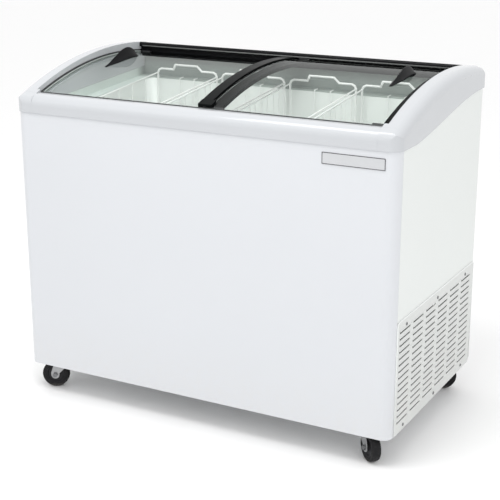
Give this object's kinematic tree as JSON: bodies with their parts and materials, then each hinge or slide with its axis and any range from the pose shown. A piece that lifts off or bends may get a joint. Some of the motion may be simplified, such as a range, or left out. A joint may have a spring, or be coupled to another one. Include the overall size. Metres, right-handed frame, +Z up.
{
  "type": "display chest freezer",
  "caption": "Display chest freezer with curved sliding glass lids, hanging wire baskets, a louvred side grille and swivel casters.",
  "frame": {"origin": "centre of the bounding box on the floor under the wheels", "axes": "+X to the right along the width, +Y to the back, +Z up"},
  "size_m": [1.092, 0.596, 0.9335],
  "materials": {
    "front_paint": "gloss",
    "side_paint": "satin",
    "grille_paint": "satin",
    "pale_trim": "satin",
    "galvanised": "satin",
    "foam": "matte",
    "liner_paint": "satin",
    "collar_plastic": "satin",
    "frame_plastic": "gloss",
    "rail_black": "gloss",
    "seal_rubber": "matte",
    "lid_glass": "gloss",
    "trim_black": "satin",
    "handle_black": "satin",
    "shoe_plastic": "matte",
    "basket_wire": "gloss",
    "badge_metal": "satin",
    "screw_steel": "satin",
    "caster_zinc": "satin",
    "wheel_black": "satin",
    "compressor_paint": "satin",
    "copper": "satin",
    "condenser_paint": "satin",
    "fan_plastic": "satin",
    "motor_black": "satin",
    "switch_plastic": "satin"
  },
  "bodies": {
    "cabinet": {"front_panel": "front_paint", "side_panel_left": "side_paint", "side_panel_right": "side_paint", "back_panel": "galvanised", "base_pan": "galvanised", "machine_bay_wall": "galvanised", "foam_insulation": "foam", "inner_liner": "liner_paint", "liner_collar": "collar_plastic", "evaporator_coil": "copper", "front_rail": "frame_plastic", "arch_left": "frame_plastic", "arch_right": "frame_plastic", "rear_rail": "rail_black", "front_gasket": "seal_rubber", "seal_left": "seal_rubber", "seal_right": "seal_rubber", "side_grille": "grille_paint", "grille_screws": "screw_steel", "badge_plate": "badge_metal", "caster_plates": "caster_zinc", "compressor": "compressor_paint", "compressor_feet": "seal_rubber", "condenser": "condenser_paint", "fan_bracket": "galvanised", "fan_motor": "motor_black", "filter_drier": "copper", "refrigerant_tubes": "copper", "thermostat": "switch_plastic", "cord_gland": "seal_rubber", "drain_pipe": "switch_plastic"},
    "lid_left": {"lid_left_glass": "lid_glass", "lid_left_trim": "trim_black", "lid_left_edge": "pale_trim", "lid_left_handle": "handle_black", "lid_left_shoes": "shoe_plastic"},
    "lid_right": {"lid_right_glass": "lid_glass", "lid_right_trim": "trim_black", "lid_right_edge": "trim_black", "lid_right_handle": "handle_black", "lid_right_shoes": "shoe_plastic"},
    "basket_1": {"basket_1": "basket_wire"},
    "basket_2": {"basket_2": "basket_wire"},
    "basket_3": {"basket_3": "basket_wire"},
    "basket_4": {"basket_4": "basket_wire"},
    "caster_swivel_fl": {"caster_fork_fl": "caster_zinc", "caster_axle_fl": "caster_zinc"},
    "caster_roll_fl": {"caster_wheel_fl": "wheel_black"},
    "caster_swivel_fr": {"caster_fork_fr": "caster_zinc", "caster_axle_fr": "caster_zinc"},
    "caster_roll_fr": {"caster_wheel_fr": "wheel_black"},
    "caster_swivel_rl": {"caster_fork_rl": "caster_zinc", "caster_axle_rl": "caster_zinc"},
    "caster_roll_rl": {"caster_wheel_rl": "wheel_black"},
    "caster_swivel_rr": {"caster_fork_rr": "caster_zinc", "caster_axle_rr": "caster_zinc"},
    "caster_roll_rr": {"caster_wheel_rr": "wheel_black"},
    "condenser_fan": {"fan_blade": "fan_plastic"},
    "thermostat_dial": {"thermostat_knob": "handle_black"},
    "drain_stopper": {"drain_plug": "seal_rubber"}
  },
  "joints": [
    {"name": "lid_left_slide", "type": "slide", "parent": "cabinet", "child": "lid_left", "axis": [1, 0, 0], "range_m": [0, 0.395]},
    {"name": "lid_right_slide", "type": "slide", "parent": "cabinet", "child": "lid_right", "axis": [1, 0, 0], "range_m": [-0.395, 0]},
    {"name": "basket_1_lift", "type": "slide", "parent": "cabinet", "child": "basket_1", "axis": [0, 0, 1], "range_m": [0, 0.012]},
    {"name": "basket_2_lift", "type": "slide", "parent": "cabinet", "child": "basket_2", "axis": [0, 0, 1], "range_m": [0, 0.012]},
    {"name": "basket_3_lift", "type": "slide", "parent": "cabinet", "child": "basket_3", "axis": [0, 0, 1], "range_m": [0, 0.012]},
    {"name": "basket_4_lift", "type": "slide", "parent": "cabinet", "child": "basket_4", "axis": [0, 0, 1], "range_m": [0, 0.012]},
    {"name": "caster_fl_swivel", "type": "hinge", "parent": "cabinet", "child": "caster_swivel_fl", "pos_m": [-0.462, -0.24, 0.0926], "axis": [0, 0, 1], "continuous": true},
    {"name": "caster_fl_spin", "type": "hinge", "parent": "caster_swivel_fl", "child": "caster_roll_fl", "pos_m": [-0.48738, -0.25183, 0.038], "axis": [0.4226, -0.9063, 0], "continuous": true},
    {"name": "caster_fr_swivel", "type": "hinge", "parent": "cabinet", "child": "caster_swivel_fr", "pos_m": [0.462, -0.24, 0.0926], "axis": [0, 0, 1], "continuous": true},
    {"name": "caster_fr_spin", "type": "hinge", "parent": "caster_swivel_fr", "child": "caster_roll_fr", "pos_m": [0.48281, -0.25874, 0.038], "axis": [0.6691, 0.7431, 0], "continuous": true},
    {"name": "caster_rl_swivel", "type": "hinge", "parent": "cabinet", "child": "caster_swivel_rl", "pos_m": [-0.462, 0.24, 0.0926], "axis": [0, 0, 1], "continuous": true},
    {"name": "caster_rl_spin", "type": "hinge", "parent": "caster_swivel_rl", "child": "caster_roll_rl", "pos_m": [-0.48625, 0.254, 0.038], "axis": [-0.5, -0.866, 0], "continuous": true},
    {"name": "caster_rr_swivel", "type": "hinge", "parent": "cabinet", "child": "caster_swivel_rr", "pos_m": [0.462, 0.24, 0.0926], "axis": [0, 0, 1], "continuous": true},
    {"name": "caster_rr_spin", "type": "hinge", "parent": "caster_swivel_rr", "child": "caster_roll_rr", "pos_m": [0.48625, 0.254, 0.038], "axis": [-0.5, 0.866, 0], "continuous": true},
    {"name": "fan_spin", "type": "hinge", "parent": "cabinet", "child": "condenser_fan", "pos_m": [0.431, -0.134, 0.23], "axis": [1, 0, 0], "continuous": true},
    {"name": "thermostat_turn", "type": "hinge", "parent": "cabinet", "child": "thermostat_dial", "pos_m": [0.49, 0.2945, 0.32], "axis": [0, 1, 0], "range_deg": [0, 300]},
    {"name": "drain_plug_lift", "type": "slide", "parent": "cabinet", "child": "drain_stopper", "axis": [0, 0, 1], "range_m": [0, 0.06]}
  ]
}
